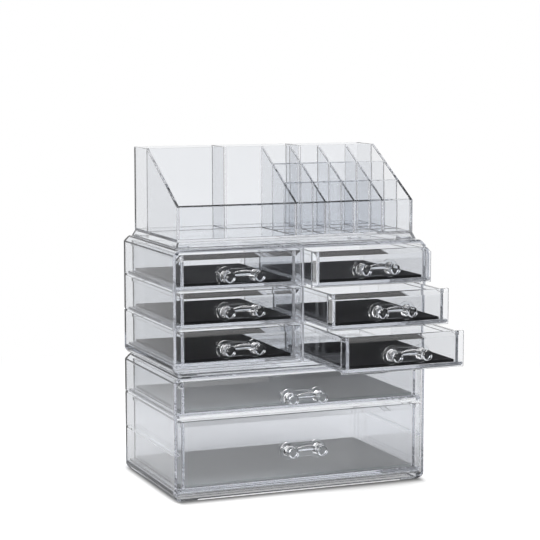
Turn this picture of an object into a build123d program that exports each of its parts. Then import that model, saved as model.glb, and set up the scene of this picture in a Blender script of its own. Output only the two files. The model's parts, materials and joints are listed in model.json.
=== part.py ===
from build123d import *
import math
import os

os.makedirs("parts", exist_ok=True)

# Makeup organizer in clear moulded plastic: two drawer cases of one size, stacked, with an
# open tray of compartments on top. Every drawer has a clear pull and a dark floor mat.
# Millimetres. X to the right, Y to the back, Z up. The origin is on the floor, under the
# middle of the lower case.

# Drawer cases
case_width = 240.0
case_depth = 138.5
case_height = 109.5
case_wall = 2.5
case_top = 2.7
shoulder = 4.8              # slanted edge along each side of the top
rim_bevel = 1.5             # slanted edge along the front and back of the top
base_round = 7.0            # rounded edge along each side of the bottom
base_bevel_front = 2.8      # slanted edge along the front and back of the bottom
floor_height = 8.8          # top of the case floor above the case's own feet
floor_thickness = 2.5
sill_drop = 2.8             # the front sill lies this far below the floor, under the panels
foot_length = 22.0          # each front foot, from the side of the case
foot_height = 1.2
centre_wall = 2.0           # upright between the two columns of the upper case

# Stacking
seat_gap = 0.2              # between a unit and the one that it stands on
lug_size = 10.0
lug_height = 1.5
lug_clearance = 0.5

# Drawer rows
row_count = 3
row_gap = 1.7               # between one front panel and the next above it
ceiling_gap = 2.0           # between the highest panel and the underside of the case top
panel_hang = 1.6            # a panel reaches this far below the underside of its own box
panel_side_gap = 0.5
shallow_panel_drop = 1.8    # the shallow panel reaches this much below its row's line
rail_thickness = 2.0
rail_side_gap = 1.2         # between a rail and the side of a drawer box
rail_front_gap = 0.8        # between a rail's front end and a closed panel
runner_gap = 0.2            # between a drawer's runner and its rail

# Drawers
panel_thickness = 4.0
panel_bevel_depth = 1.3
panel_bevel_top = 4.5
panel_bevel_side = 5.0
panel_bevel_bottom = 3.0
panel_corner = 4.5          # cut at the corner that faces a slanted case edge
box_inset = 5.0             # from a panel's edge to the side of its box
box_wall = 2.3
box_floor = 2.2
box_top_drop = 0.8          # from the top of the panel to the rim of the box
box_back_gap = 3.5          # between a closed box and the back of the case
rim_height = 3.5
rim_proud = 0.8
runner_side_gap = 1.3       # between a runner and the case wall
runner_thickness = 2.0
right_column_open = [80.6, 52.0, 18.0]      # how far each stands open, lowest first

# Pulls
pull_spacing = 27.5
pull_reach = 14.4
pull_cap_radius = 4.6
pull_cap_round = 0.9
pull_foot_radius = 8.0      # flat foot around each post
pull_foot_thickness = 1.2
pull_waist = 12.4           # height of the foot between the posts
pull_post_radius = 5.6      # where a post leaves its foot
pull_neck = 8.6             # from the panel to where a post is at its thinnest
pull_bar_setback = 4.0      # from the end of the posts to the middle of the bar
pull_bar_thickness = 3.2
pull_bar_height = 5.4       # in the middle of the bar
pull_bar_end_height = 1.8   # inside the posts
pull_bar_lift = 1.2         # its ends are this far above the posts' axes
pull_bar_rise = 1.8         # of its arch
pull_bar_sections = 7
pull_drop = 1.2             # below the middle of the panel
low_pull_drop = 3.5         # the same for the two pulls that were fixed lower
right_pull_shift = 1.5      # the right column's pulls are this far right of the middle
pull_joint = 0.1            # glue line

# Floor mats
mat_thickness = 2.5
mat_side_gap = 1.0
mat_joint = 0.1

# Tray
tray_width = 224.6
tray_depth = 118.0
tray_setback = 1.0          # its middle lies this far behind the middle of the cases
tray_height = 81.6
tray_front_height = 35.0
tray_wall = 2.5
tray_partition = 2.0
tray_floor_height = 7.0
tray_floor_thickness = 2.5
tray_foot_height = 5.3
tray_foot_flare = 2.4
back_row_depth = 31.5
back_row_count = 3
wide_compartment_width = 107.7
column_count = 4
tier_count = 3

# Worked-out places
half_width = case_width / 2
case_front = -case_depth / 2
case_back = case_depth / 2
inner_side = half_width - case_wall
inner_back = case_back - case_wall
ceiling = case_height - case_top
floor_underside = floor_height - floor_thickness
first_panel_bottom = floor_height - panel_hang
rows_height = ceiling - ceiling_gap - first_panel_bottom
panel_height = (rows_height - (row_count - 1) * row_gap) / row_count
row_pitch = panel_height + row_gap
rail_width = panel_side_gap + box_inset - rail_side_gap
rail_front = case_front + panel_thickness + rail_front_gap
middle_case_bottom = case_height + seat_gap
tray_bottom = middle_case_bottom + case_height + seat_gap
tray_front = tray_setback - tray_depth / 2
tray_back = tray_setback + tray_depth / 2


def block(x_range, y_range, z_range):
    """Box between two planes along each axis."""
    ranges = (x_range, y_range, z_range)
    size = [high - low for low, high in ranges]
    middle = [(high + low) / 2 for low, high in ranges]
    return Pos(*middle) * Box(*size)


def across_face(outline, y):
    """Flat face with an XZ outline at one Y."""
    plane = Plane(origin=(0, y, 0), x_dir=(1, 0, 0), z_dir=(0, -1, 0))
    return plane * Polygon(*outline, align=None)


def across_prism(outline, y_front, y_back):
    """Solid with an XZ outline between two Y planes."""
    return extrude(across_face(outline, y_back), amount=y_back - y_front)


def lengthways_prism(outline, x_left, x_right):
    """Solid with a YZ outline between two X planes."""
    plane = Plane(origin=(x_left, 0, 0), x_dir=(0, 1, 0), z_dir=(1, 0, 0))
    return extrude(plane * Polygon(*outline, align=None), amount=x_right - x_left)


def frustum(lower, upper, z_low, z_high):
    """Solid between two rectangles, each given as an X range and a Y range."""
    faces = []
    for (x_range, y_range), z in ((lower, z_low), (upper, z_high)):
        corners = [(x_range[0], y_range[0]), (x_range[1], y_range[0]),
                   (x_range[1], y_range[1]), (x_range[0], y_range[1])]
        faces.append(Pos(0, 0, z) * Polygon(*corners, align=None))
    return loft(faces, ruled=True)


def inset_outline(points, insets):
    """Anticlockwise outline with each side moved inwards by its own amount."""
    sides = []
    for (x1, z1), (x2, z2), inset in zip(points, points[1:] + points[:1], insets):
        length = math.hypot(x2 - x1, z2 - z1)
        normal_x = (z1 - z2) / length
        normal_z = (x2 - x1) / length
        sides.append((normal_x, normal_z, normal_x * x1 + normal_z * z1 + inset))
    corners = []
    for (ax, az, a), (bx, bz, b) in zip(sides[-1:] + sides[:-1], sides):
        spread = ax * bz - az * bx
        corners.append(((a * bz - b * az) / spread, (ax * b - bx * a) / spread))
    return corners


def row_bottom(row):
    """Lower edge of a front panel, above the bottom of its case."""
    return first_panel_bottom + row * row_pitch


def rail_top(row):
    """Surface that a row's runners slide on, above the bottom of its case."""
    return row_bottom(row) + panel_hang


def case_body():
    """Outer form of a case, its feet not yet cut."""
    across = [
        (-half_width, 0),
        (half_width, 0),
        (half_width, case_height - shoulder),
        (half_width - shoulder, case_height),
        (shoulder - half_width, case_height),
        (-half_width, case_height - shoulder),
    ]
    face = across_face(across, case_back)
    face = fillet(face.vertices().group_by(Axis.Z)[0], base_round)
    lengthways = [
        (case_front + base_bevel_front, 0),
        (case_back - base_bevel_front, 0),
        (case_back, base_bevel_front),
        (case_back, case_height - rim_bevel),
        (case_back - rim_bevel, case_height),
        (case_front + rim_bevel, case_height),
        (case_front, case_height - rim_bevel),
        (case_front, base_bevel_front),
    ]
    return extrude(face, amount=case_depth) & lengthways_prism(lengthways, -half_width, half_width)


def case_cavity():
    """Space for the drawers, open at the front, with the panels' step at the sill."""
    inner_shoulder = shoulder - case_wall * (2 - math.sqrt(2))
    outline = [
        (-inner_side, floor_height),
        (inner_side, floor_height),
        (inner_side, ceiling - inner_shoulder),
        (inner_side - inner_shoulder, ceiling),
        (inner_shoulder - inner_side, ceiling),
        (-inner_side, ceiling - inner_shoulder),
    ]
    step = block((-inner_side, inner_side), (case_front, rail_front),
                 (floor_height - sill_drop, floor_height))
    return across_prism(outline, case_front, inner_back) + step


def case_pocket(height):
    """X and Y ranges of a case's hollow underside at a height above its feet."""
    narrow = half_width - base_round - case_wall
    x = narrow + (inner_side - narrow) * height / floor_underside
    skirt = base_bevel_front + case_wall
    return (-x, x), (case_front + skirt, case_back - skirt)


def case_underside():
    """Hollow below the floor, a little lower below the sill."""
    parts = []
    sill_underside = floor_underside - sill_drop
    (low_left, low_right), (front, back) = case_pocket(0)
    for y_front, height in ((front, sill_underside), (rail_front + case_wall, floor_underside)):
        (high_left, high_right), _ = case_pocket(height)
        outline = [(low_left, 0), (low_right, 0), (high_right, height), (high_left, height)]
        parts.append(across_prism(outline, y_front, back))
    return parts


def case_foot_cut():
    """Shallow cut under the front sill that leaves a foot at each end of it."""
    reach = half_width - foot_length
    return block((-reach, reach), (case_front, case_pocket(0)[1][0]), (0, foot_height))


def case_lugs(pocket):
    """Four lugs on a case top, inside the hollow foot of the unit above."""
    (left, right), (front, back) = pocket
    lugs = []
    for x in (left + lug_clearance, right - lug_clearance - lug_size):
        for y in (front + lug_clearance, back - lug_clearance - lug_size):
            lugs.append(block((x, x + lug_size), (y, y + lug_size),
                              (case_height, case_height + lug_height)))
    return lugs


def rail(wall_face, direction, row):
    """One rail on an upright wall face, standing out in the given X direction."""
    x_range = sorted((wall_face, wall_face + direction * rail_width))
    return block(x_range, (rail_front, inner_back), (rail_top(row) - rail_thickness, rail_top(row)))


def case_rails():
    """Rails on both side walls, for every row but the lowest, which has the floor."""
    rails = []
    for row in range(1, row_count):
        rails.append(rail(-inner_side, 1, row))
        rails.append(rail(inner_side, -1, row))
    return rails


def case_centre():
    """Upright between two columns of drawers, with its own rails."""
    half = centre_wall / 2
    pieces = [block((-half, half), (case_front, inner_back), (floor_height - sill_drop, ceiling))]
    for row in range(1, row_count):
        pieces.append(rail(-half, -1, row))
        pieces.append(rail(half, 1, row))
    return pieces


def case_shell(lugs):
    """One moulded case without its drawers, standing on the plane Z = 0."""
    shell = case_body() - case_cavity()
    for cut in case_underside() + [case_foot_cut()]:
        shell -= cut
    for piece in case_rails() + lugs:
        shell += piece
    return shell


def bottom_case():
    """Lower case, whose lugs fit the hollow underside of the case above."""
    return case_shell(case_lugs(case_pocket(0)))


def middle_case():
    """Upper case, with an upright in its middle and lugs that fit the tray's foot."""
    shell = case_shell(case_lugs(tray_pocket(lug_height)))
    for piece in case_centre():
        shell += piece
    return Pos(0, 0, middle_case_bottom) * shell


def tray_pocket(height):
    """X and Y ranges of the tray's hollow foot at a height above the tray's bottom."""
    inset = tray_wall - tray_foot_flare * (1 - height / tray_foot_height)
    x = tray_width / 2 - inset
    return (-x, x), (tray_front + inset, tray_back - inset)


def panel(left, right, bottom, top, cut_left, cut_right):
    """Front panel with a slanted border, and cut upper corners where asked."""
    outline = [(left, bottom), (right, bottom)]
    insets = [panel_bevel_bottom, panel_bevel_side]
    if cut_right:
        outline += [(right, top - panel_corner), (right - panel_corner, top)]
        insets += [panel_bevel_top, panel_bevel_top]
    else:
        outline += [(right, top)]
        insets += [panel_bevel_top]
    if cut_left:
        outline += [(left + panel_corner, top), (left, top - panel_corner)]
        insets += [panel_bevel_top, panel_bevel_side]
    else:
        outline += [(left, top)]
        insets += [panel_bevel_side]
    bevel_back = case_front + panel_bevel_depth
    border = loft([across_face(outline, bevel_back),
                   across_face(inset_outline(outline, insets), case_front)], ruled=True)
    return across_prism(outline, bevel_back, case_front + panel_thickness) + border


def drawer_box(left, right, bottom, top):
    """Box behind a panel: floor, walls, a thick rim and a runner along each side."""
    front = case_front + panel_thickness
    back = inner_back - box_back_gap
    outer = block((left, right), (front, back), (bottom, top))
    inside = block((left + box_wall, right - box_wall), (front, back - box_wall),
                   (bottom + box_floor, top))
    rim = block((left - rim_proud, right + rim_proud), (front, back + rim_proud),
                (top - rim_height, top))
    reach = panel_side_gap + box_inset - runner_side_gap
    runners = block((left - reach, right + reach), (front, back),
                    (bottom, bottom + runner_thickness))
    return outer + rim + runners - inside


def drawer(left, right, bottom, top, seat, cut_left=False, cut_right=False):
    """Panel and box as one moulding. The seat is the surface under its runners."""
    front = panel(left, right, bottom, top, cut_left, cut_right)
    return front + drawer_box(left + box_inset, right - box_inset,
                              seat + runner_gap, top - box_top_drop)


def drawer_mat(left, right, seat):
    """Flat mat on the floor of a drawer box."""
    floor_top = seat + runner_gap + box_floor + mat_joint
    inset = box_inset + box_wall + mat_side_gap
    back = inner_back - box_back_gap - box_wall - mat_side_gap
    return block((left + inset, right - inset),
                 (case_front + panel_thickness + mat_side_gap, back),
                 (floor_top, floor_top + mat_thickness))


def pull_post():
    """Round foot with a waisted post, on the axis X = 0, Z = 0, standing out towards -Y."""
    foot_edge = (pull_foot_radius, -pull_foot_thickness)
    post_edge = (pull_post_radius, -pull_foot_thickness)
    neck_edge = (pull_cap_radius, -pull_neck)
    cap_edge = (pull_cap_radius, pull_cap_round - pull_reach)
    cap_flat = (pull_cap_radius - pull_cap_round, -pull_reach)
    profile = [
        Line((0, 0), (pull_foot_radius, 0)),
        Line((pull_foot_radius, 0), foot_edge),
        Line(foot_edge, post_edge),
        TangentArc(neck_edge, post_edge, tangent=(0, 1)),
        Line(neck_edge, cap_edge),
        Line(cap_edge, cap_flat),
        Line(cap_flat, (0, -pull_reach)),
        Line((0, -pull_reach), (0, 0)),
    ]
    return revolve(make_face(profile), axis=Axis.Y)


def pull_bar():
    """Arched bar between the posts' axes, thickest in its middle."""
    half = pull_spacing / 2
    y = pull_bar_setback - pull_reach
    path = ThreePointArc((-half, y, pull_bar_lift), (0, y, pull_bar_lift + pull_bar_rise),
                         (half, y, pull_bar_lift))
    sections = []
    for i in range(pull_bar_sections):
        along = i / (pull_bar_sections - 1)
        swell = math.sin(math.pi * along)
        height = pull_bar_end_height + (pull_bar_height - pull_bar_end_height) * swell
        thickness = pull_bar_thickness * height / pull_bar_height
        plane = Plane(origin=path @ along, x_dir=(0, -1, 0), z_dir=path % along)
        sections.append(plane * Ellipse(thickness / 2, height / 2))
    return loft(sections)


def pull(x, panel_front, z):
    """Clear pull: two posts on one waisted foot, joined by an arched bar."""
    half = pull_spacing / 2
    solid = Pos(-half, 0, 0) * pull_post() + Pos(half, 0, 0) * pull_post()
    solid += block((-half, half), (-pull_foot_thickness, 0), (-pull_waist / 2, pull_waist / 2))
    solid += pull_bar()
    return Pos(x, panel_front - pull_joint, z) * solid


def top_tray():
    """Open tray: a wide compartment, tiers of small ones and a back row, on a flared foot."""
    left, right = -tray_width / 2, tray_width / 2
    top = tray_bottom + tray_height
    front_top = tray_bottom + tray_front_height
    foot_top = tray_bottom + tray_foot_height
    floor_top = tray_bottom + tray_floor_height
    partition_back = tray_back - tray_wall - back_row_depth
    partition_front = partition_back - tray_partition

    side = [
        (tray_front, foot_top),
        (tray_back, foot_top),
        (tray_back, top),
        (partition_front, top),
        (tray_front, front_top),
    ]
    body = lengthways_prism(side, left, right)
    flare = tray_foot_flare
    wide = ((left - flare, right + flare), (tray_front - flare, tray_back + flare))
    body += frustum(wide, ((left, right), (tray_front, tray_back)), tray_bottom, foot_top)
    for x_range, y_range in compartments(partition_front, partition_back):
        body -= block(x_range, y_range, (floor_top, top))

    pocket_height = tray_floor_height - tray_floor_thickness
    body -= frustum(tray_pocket(0), tray_pocket(pocket_height),
                    tray_bottom, tray_bottom + pocket_height)
    return body


def compartments(partition_front, partition_back):
    """X and Y ranges of every compartment of the tray."""
    left, right = tray_wall - tray_width / 2, tray_width / 2 - tray_wall
    front, back = tray_front + tray_wall, tray_back - tray_wall
    wide_right = left + wide_compartment_width
    spaces = [((left, wide_right), (front, partition_front))]

    columns_left = wide_right + tray_partition
    column = (right - columns_left - (column_count - 1) * tray_partition) / column_count
    tier = (partition_front - front - (tier_count - 1) * tray_partition) / tier_count
    for i in range(column_count):
        x = columns_left + i * (column + tray_partition)
        for j in range(tier_count):
            y = front + j * (tier + tray_partition)
            spaces.append(((x, x + column), (y, y + tier)))

    cell = (right - left - (back_row_count - 1) * tray_partition) / back_row_count
    for i in range(back_row_count):
        x = left + i * (cell + tray_partition)
        spaces.append(((x, x + cell), (partition_back, back)))
    return spaces


def write(name, shape):
    """Write one piece to its own file."""
    export_step(shape, f"parts/{name}.step")


def write_drawer(name, left, right, bottom, top, seat, corners, pull_place, offset):
    """Write a drawer with its pull and its mat, moved by an offset."""
    cut_left, cut_right = corners
    shift, drop = pull_place
    body = drawer(left, right, bottom, top, seat, cut_left, cut_right)
    mat = drawer_mat(left, right, seat)
    grip = pull((left + right) / 2 + shift, case_front, (bottom + top) / 2 - drop)
    write(f"{name}_drawer", Pos(*offset) * body)
    write(f"{name}_drawer_mat", Pos(*offset) * mat)
    write(f"{name}_drawer_pull", Pos(*offset) * grip)


def write_small_drawers():
    """Three rows of two drawers in the upper case. The right column stands open."""
    near_centre = centre_wall / 2 + panel_side_gap
    near_side = inner_side - panel_side_gap
    row_names = ["lower", "middle", "upper"]
    for row, row_name in enumerate(row_names):
        bottom = row_bottom(row)
        top = bottom + panel_height
        last = row == row_count - 1
        write_drawer(f"{row_name}_left", -near_side, -near_centre, bottom, top, rail_top(row),
                     (last, False), (0, low_pull_drop if last else pull_drop),
                     (0, 0, middle_case_bottom))
        write_drawer(f"{row_name}_right", near_centre, near_side, bottom, top, rail_top(row),
                     (False, last), (right_pull_shift, pull_drop),
                     (0, -right_column_open[row], middle_case_bottom))


def write_wide_drawers():
    """Two drawers over the whole width of the lower case: a tall one and a shallow one."""
    near_side = inner_side - panel_side_gap
    shallow_bottom = row_bottom(row_count - 1) - shallow_panel_drop
    shallow_top = row_bottom(row_count - 1) + panel_height
    tall_top = shallow_bottom - row_gap
    write_drawer("wide_tall", -near_side, near_side, row_bottom(0), tall_top, rail_top(0),
                 (False, False), (0, pull_drop), (0, 0, 0))
    write_drawer("wide_shallow", -near_side, near_side, shallow_bottom, shallow_top,
                 rail_top(row_count - 1), (True, True), (0, low_pull_drop), (0, 0, 0))


write("bottom_case", bottom_case())
write("middle_case", middle_case())
write("top_tray", top_tray())
write_small_drawers()
write_wide_drawers()
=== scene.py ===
import bpy
import bmesh
import json
import math
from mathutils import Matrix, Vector


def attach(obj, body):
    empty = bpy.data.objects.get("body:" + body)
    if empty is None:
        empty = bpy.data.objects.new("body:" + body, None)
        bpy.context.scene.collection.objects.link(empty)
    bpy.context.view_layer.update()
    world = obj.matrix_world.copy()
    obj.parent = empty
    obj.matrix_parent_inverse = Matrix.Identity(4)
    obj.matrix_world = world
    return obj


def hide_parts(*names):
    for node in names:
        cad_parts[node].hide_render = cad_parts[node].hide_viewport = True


# Makeup organizer in clear plastic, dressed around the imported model. Metres, same frame.
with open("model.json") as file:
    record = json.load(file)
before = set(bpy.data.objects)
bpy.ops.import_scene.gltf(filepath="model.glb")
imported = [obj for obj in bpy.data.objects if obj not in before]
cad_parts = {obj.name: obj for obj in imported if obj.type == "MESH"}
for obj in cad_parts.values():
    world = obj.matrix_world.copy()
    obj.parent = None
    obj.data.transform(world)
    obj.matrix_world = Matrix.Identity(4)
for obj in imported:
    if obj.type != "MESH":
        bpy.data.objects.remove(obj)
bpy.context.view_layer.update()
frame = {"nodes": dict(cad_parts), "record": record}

WHITE = (1, 1, 1, 1)
BLACK = (0, 0, 0, 1)

# The photograph's camera
CAMERA_PLACE = (-0.6057375, -1.4811185, 0.3828446)
CAMERA_YAW = 0.386509           # from +Y towards +X
CAMERA_PITCH = -0.120336
CAMERA_LENS = 117.9506          # mm
CAMERA_SENSOR = 36.0            # mm
CAMERA_RANGE = 60.0

# Floor
FLOOR_SIZE = 40.0
FLOOR_PAINT = (0.86, 0.86, 0.865, 1)
FLOOR_GLOW = 0.60               # brings the paint to white for the camera
# painted light on the floor under the object, lifting its shadow where the plastic foot shows it
UNDER_GLOW = 0.28               # under the object, seen in its plastic foot
FLOOR_NEAR = 0.25               # plain paint up to this distance from the middle
FLOOR_FAR = 0.7                 # and the brightness of the studio from this one on

# Shade painted on the floor along the foot of the object
SHADE_DEPTH = 0.87              # at the foot's edge, where 1 would be black
SHADE_REACH = (0.0063, 0.013)   # at the sides, and in front and behind
FOOT_HALF = (0.113, 0.0665)     # half of the foot's width and depth
ON_FOOT = 1e-9                  # a squared distance below this is under the foot

# The studio as the plastic mirrors it: its brightness in front, on the left and on the right,
# and the part of a direction's Y or X over which it changes from white
FRONT_DARK = 0.08
FRONT_FADE = (-0.5, 0.1)
LEFT_DARK = 0.36
LEFT_FADE = (-0.5, -0.1)
RIGHT_DARK = 0.45
RIGHT_FADE = (0.65, 0.9)
SKY_LOW = 0.22                  # height of a direction, where 1 is upright, at which it darkens
SKY_HIGH = 0.42                 # and height from which it is darkest
SKY_DARK = 0.06                 # brightness there
MIRRORED_ONCE = 0.5             # over this glossy depth, a ray was mirrored at least once
WORLD_LIGHT = 0.62              # the even light on the floor and the liners

# Name, place, size and power of each lamp, and the strength of its soft patch in what the
# plastic mirrors, as a share of the lamp's own
LAMPS = (("lamp_top", (-0.1, -0.35, 1.65), (0.9, 0.9), 11.0, 1.0),
         ("lamp_right", (0.75, -1.65, 1.0), (0.62, 0.62), 7.0, 0.40),
         ("lamp_left", (-1.5, -0.9, 0.8), (0.5, 0.5), 4.0, 1.2),
         ("lamp_low", (-0.13, -1.05, 0.26), (0.26, 0.5), 2.5, 1.2))
LAMP_AIM = (0, 0, 0.15)
SOFT_LAMP = "lamp_right"        # the plastic mirrors its soft patch, and not its own shape
PATCH_FADE = (0.8, 1.2)         # a patch fades between these shares of its half width

# Clear plastic
PLASTIC_IOR = 1.49
CLEAR_TINT = (0.972, 0.981, 0.996)
DEEP_TINT = (0.60, 0.625, 0.68)
SHADOW_TINT = (0.955, 0.957, 0.965, 1)      # of the light that each surface lets through
RIPPLE = {"Scale": 14.0, "Detail": 1.0, "Roughness": 0.4}
RIPPLE_HEIGHT = 0.001
WEAR = {"Scale": 160.0, "Detail": 3.0, "Roughness": 0.6}
WEAR_RANGE = (0.35, 0.75)       # part of the wear over which the roughness doubles

# Floor liners
FELT = {"Scale": 2600.0, "Detail": 2.0}
FELT_STRENGTH = 0.3
FELT_HEIGHT = 0.0003

# Edges of the moulded pieces
CASE_EDGE = 0.0004
DRAWER_EDGE = 0.0004
PULL_EDGE = 0.0003
EDGE_STEPS = 2
EDGE_ANGLE = math.radians(24)
WELD_DISTANCE = 0.000004
FLAT_ANGLE = math.radians(0.6)
FLAT_WEIGHT = 100               # large flat faces keep their own normals
WIDE_FACE = 0.000004            # faces over this area are split where they turn inwards

# Light paths, enough for many clear walls in a row
BOUNCES = 40
TRANSPARENT_BOUNCES = 96


def material(name):
    """New material with an empty node tree and its output node."""
    mat = bpy.data.materials.new(name)
    mat.use_nodes = True
    mat.node_tree.nodes.clear()
    out = mat.node_tree.nodes.new("ShaderNodeOutputMaterial")
    return mat, mat.node_tree, out


def node(tree, kind, inputs=None, **settings):
    """New node with its settings and unlinked inputs."""
    made = tree.nodes.new(kind)
    for key, value in settings.items():
        setattr(made, key, value)
    for key, value in (inputs or {}).items():
        made.inputs[key].default_value = value
    return made


def combined(tree, operation, values):
    """Some numbers put together one by one with a sum, product or maximum."""
    total = values[0]
    for value in values[1:]:
        both = node(tree, "ShaderNodeMath", operation=operation)
        tree.links.new(total, both.inputs[0])
        tree.links.new(value, both.inputs[1])
        total = both.outputs["Value"]
    return total


def scaled(tree, value, factor):
    """A number times a fixed factor."""
    made = node(tree, "ShaderNodeMath", {1: factor}, operation="MULTIPLY")
    tree.links.new(value, made.inputs[0])
    return made.outputs["Value"]


def over(tree, value, limit):
    """1 where a number is over a limit, and 0 elsewhere."""
    made = node(tree, "ShaderNodeMath", {1: limit}, operation="GREATER_THAN")
    tree.links.new(value, made.inputs[0])
    return made.outputs["Value"]


def rest_of(tree, value):
    """What a number lacks to 1."""
    made = node(tree, "ShaderNodeMath", {0: 1.0}, operation="SUBTRACT")
    tree.links.new(value, made.inputs[1])
    return made.outputs["Value"]


def ramp_range(tree, value, low, high, at_low, at_high):
    """Smooth change of a number between two values of another."""
    made = node(tree, "ShaderNodeMapRange", {"From Min": low, "From Max": high,
                                             "To Min": at_low, "To Max": at_high},
                interpolation_type="SMOOTHSTEP")
    tree.links.new(value, made.inputs["Value"])
    return made.outputs["Result"]


def clear_plastic(name, density, roughness, ripple):
    """Clear moulded plastic: refracting, with a grey tint and a faint ripple of the mould."""
    mat, tree, out = material(name)
    link = tree.links.new
    place = node(tree, "ShaderNodeTexCoord")
    flow = node(tree, "ShaderNodeTexNoise", RIPPLE)
    link(place.outputs["Object"], flow.inputs["Vector"])
    bump = node(tree, "ShaderNodeBump", {"Strength": ripple, "Distance": RIPPLE_HEIGHT})
    link(flow.outputs["Fac"], bump.inputs["Height"])
    wear = node(tree, "ShaderNodeTexNoise", WEAR)
    link(place.outputs["Object"], wear.inputs["Vector"])
    haze = node(tree, "ShaderNodeMapRange", {"From Min": WEAR_RANGE[0], "From Max": WEAR_RANGE[1],
                                             "To Min": roughness, "To Max": roughness * 2})
    link(wear.outputs["Fac"], haze.inputs["Value"])
    surface = node(tree, "ShaderNodeBsdfPrincipled",
                   {"Base Color": (*CLEAR_TINT, 1), "Transmission Weight": 1.0,
                    "IOR": PLASTIC_IOR})
    link(haze.outputs["Result"], surface.inputs["Roughness"])
    link(bump.outputs["Normal"], surface.inputs["Normal"])
    through = node(tree, "ShaderNodeBsdfTransparent", {"Color": SHADOW_TINT})
    path = node(tree, "ShaderNodeLightPath")
    mix = node(tree, "ShaderNodeMixShader")
    link(path.outputs["Is Shadow Ray"], mix.inputs["Fac"])
    link(surface.outputs["BSDF"], mix.inputs[1])
    link(through.outputs["BSDF"], mix.inputs[2])
    link(mix.outputs["Shader"], out.inputs["Surface"])
    inside = node(tree, "ShaderNodeVolumeAbsorption",
                  {"Color": (*DEEP_TINT, 1), "Density": density})
    link(inside.outputs["Volume"], out.inputs["Volume"])
    return mat


def mat_foam(name, dark, light, roughness, specular, sheen):
    """Floor liner with a fine felt surface."""
    mat, tree, out = material(name)
    link = tree.links.new
    place = node(tree, "ShaderNodeTexCoord")
    fibre = node(tree, "ShaderNodeTexNoise", FELT)
    link(place.outputs["Object"], fibre.inputs["Vector"])
    ramp = node(tree, "ShaderNodeValToRGB")
    ramp.color_ramp.elements[0].color = (*dark, 1)
    ramp.color_ramp.elements[1].color = (*light, 1)
    link(fibre.outputs["Fac"], ramp.inputs["Fac"])
    bump = node(tree, "ShaderNodeBump", {"Strength": FELT_STRENGTH, "Distance": FELT_HEIGHT})
    link(fibre.outputs["Fac"], bump.inputs["Height"])
    surface = node(tree, "ShaderNodeBsdfPrincipled",
                   {"Roughness": roughness, "Specular IOR Level": specular, "Sheen Weight": sheen})
    link(ramp.outputs["Color"], surface.inputs["Base Color"])
    link(bump.outputs["Normal"], surface.inputs["Normal"])
    link(surface.outputs["BSDF"], out.inputs["Surface"])
    return mat


def slot_of(cad_name):
    """Material slot of a CAD node, by its name."""
    for ending, slot in (("_mat", "dark_mat"), ("_pull", "clear_pull"),
                         ("_drawer", "clear_drawer"), ("_tray", "clear_tray")):
        if cad_name.endswith(ending):
            return slot
    return "clear_case"


def whole_faces(cad_name):
    """Copy of a CAD node's mesh, with the triangles of each flat face joined."""
    mesh = frame["nodes"][cad_name].data.copy()
    mesh.name = cad_name + "_moulding"
    shape = bmesh.new()
    shape.from_mesh(mesh)
    bmesh.ops.remove_doubles(shape, verts=shape.verts, dist=WELD_DISTANCE)
    bmesh.ops.dissolve_limit(shape, angle_limit=FLAT_ANGLE, verts=shape.verts, edges=shape.edges)
    wide = [face for face in shape.faces if face.calc_area() > WIDE_FACE]
    bmesh.ops.connect_verts_concave(shape, faces=wide)
    shape.to_mesh(mesh)
    shape.free()
    mesh.materials.clear()
    return mesh


def moulded(cad_name, body, edge, mat):
    """Visible piece for one CAD node, with its edges rounded as a mould leaves them."""
    mesh = whole_faces(cad_name)
    mesh.materials.append(mat)
    piece = bpy.data.objects.new(cad_name + "_moulding", mesh)
    bpy.context.scene.collection.objects.link(piece)
    mesh.shade_smooth()
    mesh.set_sharp_from_angle(angle=EDGE_ANGLE)
    rounding = piece.modifiers.new("edges", "BEVEL")
    rounding.width = edge
    rounding.segments = EDGE_STEPS
    rounding.limit_method = "ANGLE"
    rounding.angle_limit = EDGE_ANGLE
    rounding.harden_normals = True
    flats = piece.modifiers.new("flat_faces", "WEIGHTED_NORMAL")
    flats.mode = "FACE_AREA"
    flats.weight = FLAT_WEIGHT
    flats.keep_sharp = True
    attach(piece, body)
    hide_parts(cad_name)


def ray_kinds(tree, path, names):
    """1 on any of the named kinds of ray."""
    return combined(tree, "MAXIMUM", [path.outputs[name] for name in names])


def mirrored(tree, path):
    """1 for a ray that the plastic has mirrored, 0 for one that looks straight through it."""
    return over(tree, path.outputs["Glossy Depth"], MIRRORED_ONCE)


def soft_boxes(tree, direction):
    """The lamps as bright round patches of the studio, by their direction from the object."""
    patches = []
    for _, place, size, power, share in LAMPS:
        toward = Vector(place) - Vector(LAMP_AIM)
        half = math.atan(size[0] / 2 / toward.length)
        facing = node(tree, "ShaderNodeVectorMath", {1: toward.normalized()},
                      operation="DOT_PRODUCT")
        tree.links.new(direction, facing.inputs[0])
        radiance = power / (math.pi * size[0] * size[1])
        patches.append(ramp_range(tree, facing.outputs["Value"], math.cos(half * PATCH_FADE[1]),
                                  math.cos(half * PATCH_FADE[0]), 0.0, share * radiance))
    return combined(tree, "ADD", patches)


def bright_field(tree, path, direction):
    """Studio round the object: white seen straight through the plastic, and in what the plastic
    mirrors white behind the object and darker beside and before it."""
    split = node(tree, "ShaderNodeSeparateXYZ")
    tree.links.new(direction, split.inputs["Vector"])
    front = ramp_range(tree, split.outputs["Y"], *FRONT_FADE, FRONT_DARK, 1.0)
    left = ramp_range(tree, split.outputs["X"], *LEFT_FADE, LEFT_DARK, 1.0)
    right = ramp_range(tree, split.outputs["X"], *RIGHT_FADE, 1.0, RIGHT_DARK)
    around = combined(tree, "MULTIPLY", [front, left, right])
    straight = rest_of(tree, mirrored(tree, path))
    return combined(tree, "MAXIMUM", [around, straight])


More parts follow.
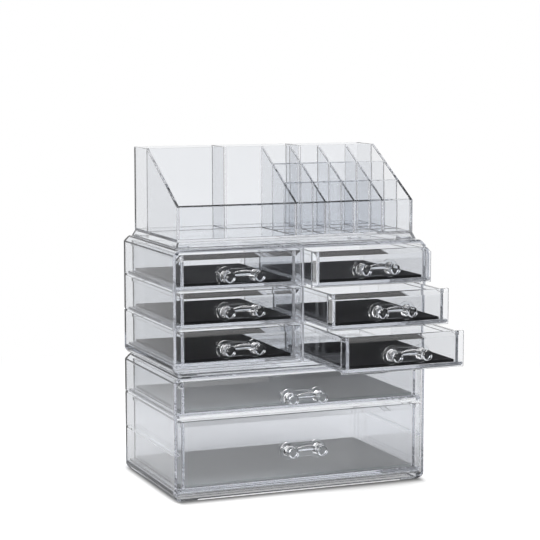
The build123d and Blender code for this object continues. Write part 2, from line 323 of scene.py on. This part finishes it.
def foot_shade(tree, place):
    """Shade round the object's foot, and where the foot is, from a place's distance to it. The
    floor lies at height 0, so the third value of each vector plays no part."""
    link = tree.links.new
    far = node(tree, "ShaderNodeVectorMath", operation="ABSOLUTE")
    link(place, far.inputs[0])
    beyond = node(tree, "ShaderNodeVectorMath", {1: (*FOOT_HALF, 1.0)}, operation="SUBTRACT")
    link(far.outputs["Vector"], beyond.inputs[0])
    outside = node(tree, "ShaderNodeVectorMath", {1: (0, 0, 0)}, operation="MAXIMUM")
    link(beyond.outputs["Vector"], outside.inputs[0])
    reaches = node(tree, "ShaderNodeVectorMath", {1: (*SHADE_REACH, 1.0)}, operation="DIVIDE")
    link(outside.outputs["Vector"], reaches.inputs[0])
    squared = node(tree, "ShaderNodeVectorMath", operation="DOT_PRODUCT")
    link(reaches.outputs["Vector"], squared.inputs[0])
    link(reaches.outputs["Vector"], squared.inputs[1])
    fade = node(tree, "ShaderNodeMath", operation="EXPONENT")
    link(scaled(tree, squared.outputs["Value"], -1.0), fade.inputs[0])
    depth = scaled(tree, fade.outputs["Value"], SHADE_DEPTH)
    clear = over(tree, squared.outputs["Value"], ON_FOOT)
    return combined(tree, "MULTIPLY", [depth, clear]), rest_of(tree, clear)


def near_floor(tree, path, place):
    """Painted floor near the object, with the painted shade along its foot and painted light under
    it.
    """
    link = tree.links.new
    shade, beneath = foot_shade(tree, place)
    paint = node(tree, "ShaderNodeBsdfDiffuse", {"Color": FLOOR_PAINT})
    glow = node(tree, "ShaderNodeEmission", {"Color": WHITE})
    # painted light under the object's foot, seen only through its plastic
    under = combined(tree, "MULTIPLY", [beneath, path.outputs["Is Transmission Ray"]])
    to_camera = scaled(tree, path.outputs["Is Camera Ray"], FLOOR_GLOW)
    through_foot = scaled(tree, under, UNDER_GLOW)
    link(combined(tree, "ADD", [to_camera, through_foot]), glow.inputs["Strength"])
    lit = node(tree, "ShaderNodeAddShader")
    link(paint.outputs["BSDF"], lit.inputs[0])
    link(glow.outputs["Emission"], lit.inputs[1])
    dark = node(tree, "ShaderNodeBsdfDiffuse", {"Color": BLACK})
    shaded = node(tree, "ShaderNodeMixShader")
    link(shade, shaded.inputs["Fac"])
    link(lit.outputs["Shader"], shaded.inputs[1])
    link(dark.outputs["BSDF"], shaded.inputs[2])
    return shaded.outputs["Shader"]


def far_floor(tree, path, place):
    """Floor far from the object, white for the camera and as bright as the studio in plastic."""
    link = tree.links.new
    away = node(tree, "ShaderNodeVectorMath", operation="NORMALIZE")
    link(place, away.inputs[0])
    field = bright_field(tree, path, away.outputs["Vector"])
    beyond = node(tree, "ShaderNodeEmission", {"Color": WHITE})
    link(combined(tree, "MAXIMUM", [field, path.outputs["Is Camera Ray"]]),
         beyond.inputs["Strength"])
    return beyond.outputs["Emission"]


def studio_floor():
    """White floor that keeps the object's shadow and, mirrored in the plastic, darkens far off."""
    bpy.ops.mesh.primitive_plane_add(size=FLOOR_SIZE, location=(0, 0, 0))
    floor = bpy.context.object
    floor.name = "studio_floor"
    mat, tree, out = material("studio_floor_paint")
    link = tree.links.new
    path = node(tree, "ShaderNodeLightPath")
    place = node(tree, "ShaderNodeTexCoord").outputs["Object"]
    reach = node(tree, "ShaderNodeVectorMath", operation="LENGTH")
    link(place, reach.inputs[0])
    far = ramp_range(tree, reach.outputs["Value"], FLOOR_NEAR, FLOOR_FAR, 0.0, 1.0)
    seen = ray_kinds(tree, path, ("Is Camera Ray", "Is Glossy Ray", "Is Transmission Ray"))
    mix = node(tree, "ShaderNodeMixShader")
    link(combined(tree, "MULTIPLY", [far, seen]), mix.inputs["Fac"])
    link(near_floor(tree, path, place), mix.inputs[1])
    link(far_floor(tree, path, place), mix.inputs[2])
    link(mix.outputs["Shader"], out.inputs["Surface"])
    floor.data.materials.append(mat)


def studio_world():
    """White behind the object, an even light on it, and a darker room with the lamps' patches
    mirrored in its plastic."""
    world = bpy.data.worlds.new("studio")
    bpy.context.scene.world = world
    world.use_nodes = True
    tree = world.node_tree
    tree.nodes.clear()
    link = tree.links.new
    out = tree.nodes.new("ShaderNodeOutputWorld")
    path = node(tree, "ShaderNodeLightPath")
    direction = node(tree, "ShaderNodeTexCoord").outputs["Generated"]
    split = node(tree, "ShaderNodeSeparateXYZ")
    link(direction, split.inputs["Vector"])
    height = ramp_range(tree, split.outputs["Z"], SKY_LOW, SKY_HIGH, 1.0, SKY_DARK)
    field = combined(tree, "MULTIPLY", [height, bright_field(tree, path, direction)])
    lamps = combined(tree, "MULTIPLY", [soft_boxes(tree, direction), mirrored(tree, path)])
    even = node(tree, "ShaderNodeBackground", {"Color": WHITE, "Strength": WORLD_LIGHT})
    white = node(tree, "ShaderNodeBackground", {"Color": WHITE, "Strength": 1.0})
    in_plastic = node(tree, "ShaderNodeBackground", {"Color": WHITE})
    link(combined(tree, "ADD", [field, lamps]), in_plastic.inputs["Strength"])
    by_plastic = ray_kinds(tree, path, ("Is Glossy Ray", "Is Transmission Ray"))
    shader = even.outputs["Background"]
    for factor, background in ((path.outputs["Is Camera Ray"], white), (by_plastic, in_plastic)):
        mix = node(tree, "ShaderNodeMixShader")
        link(factor, mix.inputs["Fac"])
        link(shader, mix.inputs[1])
        link(background.outputs["Background"], mix.inputs[2])
        shader = mix.outputs["Shader"]
    link(shader, out.inputs["Surface"])


def studio_lamps():
    """Soft lamps above the object, on both sides of the camera and low in front."""
    for name, place, size, power, _ in LAMPS:
        data = bpy.data.lights.new(name, "AREA")
        data.shape = "RECTANGLE"
        data.size, data.size_y = size
        data.energy = power
        lamp = bpy.data.objects.new(name, data)
        bpy.context.scene.collection.objects.link(lamp)
        lamp.location = place
        aim = Vector(LAMP_AIM) - Vector(place)
        lamp.rotation_euler = aim.to_track_quat("-Z", "Y").to_euler()
        lamp.visible_camera = False
        lamp.visible_transmission = False
        lamp.visible_glossy = name != SOFT_LAMP


def camera():
    """Camera at the photograph's angle."""
    data = bpy.data.cameras.new("camera")
    data.sensor_width = CAMERA_SENSOR
    data.lens = CAMERA_LENS
    data.clip_end = CAMERA_RANGE
    seat = bpy.data.objects.new("camera", data)
    bpy.context.scene.collection.objects.link(seat)
    seat.location = CAMERA_PLACE
    seat.rotation_euler = (math.pi / 2 + CAMERA_PITCH, 0, -CAMERA_YAW)
    bpy.context.scene.camera = seat


def settings():
    """Plain colours, and enough bounces for many clear walls in a row."""
    scene = bpy.context.scene
    scene.view_settings.view_transform = "Standard"
    scene.cycles.max_bounces = BOUNCES
    scene.cycles.transmission_bounces = BOUNCES
    scene.cycles.glossy_bounces = BOUNCES
    scene.cycles.transparent_max_bounces = TRANSPARENT_BOUNCES
    scene.cycles.caustics_refractive = False
    scene.cycles.caustics_reflective = False


case_plastic = clear_plastic("clear_case_plastic", density=9.0, roughness=0.012, ripple=0.02)
drawer_plastic = clear_plastic("clear_drawer_plastic", density=8.0, roughness=0.010, ripple=0.02)
tray_plastic = clear_plastic("clear_tray_plastic", density=5.0, roughness=0.012, ripple=0.02)
pull_plastic = clear_plastic("clear_pull_plastic", density=4.0, roughness=0.006, ripple=0.01)
small_foam = mat_foam("small_mat_foam", dark=(0.003, 0.003, 0.004), light=(0.010, 0.010, 0.012),
                      roughness=0.62, specular=0.1, sheen=0.0)
# Lighter grey copy of the liner for the wide drawers: part of its grey is the liner's own tone,
# and part is painted sheen of the bright studio seen at a grazing angle
wide_foam = mat_foam("wide_mat_foam", dark=(0.43, 0.457, 0.467), light=(0.60, 0.637, 0.650),
                     roughness=0.30, specular=0.6, sheen=0.45)

# Material and edge rounding of each slot
slots = {
    "clear_case": (case_plastic, CASE_EDGE),
    "clear_tray": (tray_plastic, CASE_EDGE),
    "clear_drawer": (drawer_plastic, DRAWER_EDGE),
    "clear_pull": (pull_plastic, PULL_EDGE),
    "dark_mat": (small_foam, CASE_EDGE),
}

# One visible piece for each CAD node
for body, cad_names in frame["record"]["behaviour"]["bodies"].items():
    for cad_name in cad_names:
        slot = slot_of(cad_name)
        mat, edge = slots[slot]
        # the wide drawers get the lighter liner, whose grey is partly painted sheen
        if slot == "dark_mat" and cad_name.startswith("wide"):
            mat = wide_foam
        moulded(cad_name, body, edge, mat)

studio_floor()
studio_world()
studio_lamps()
camera()
settings()
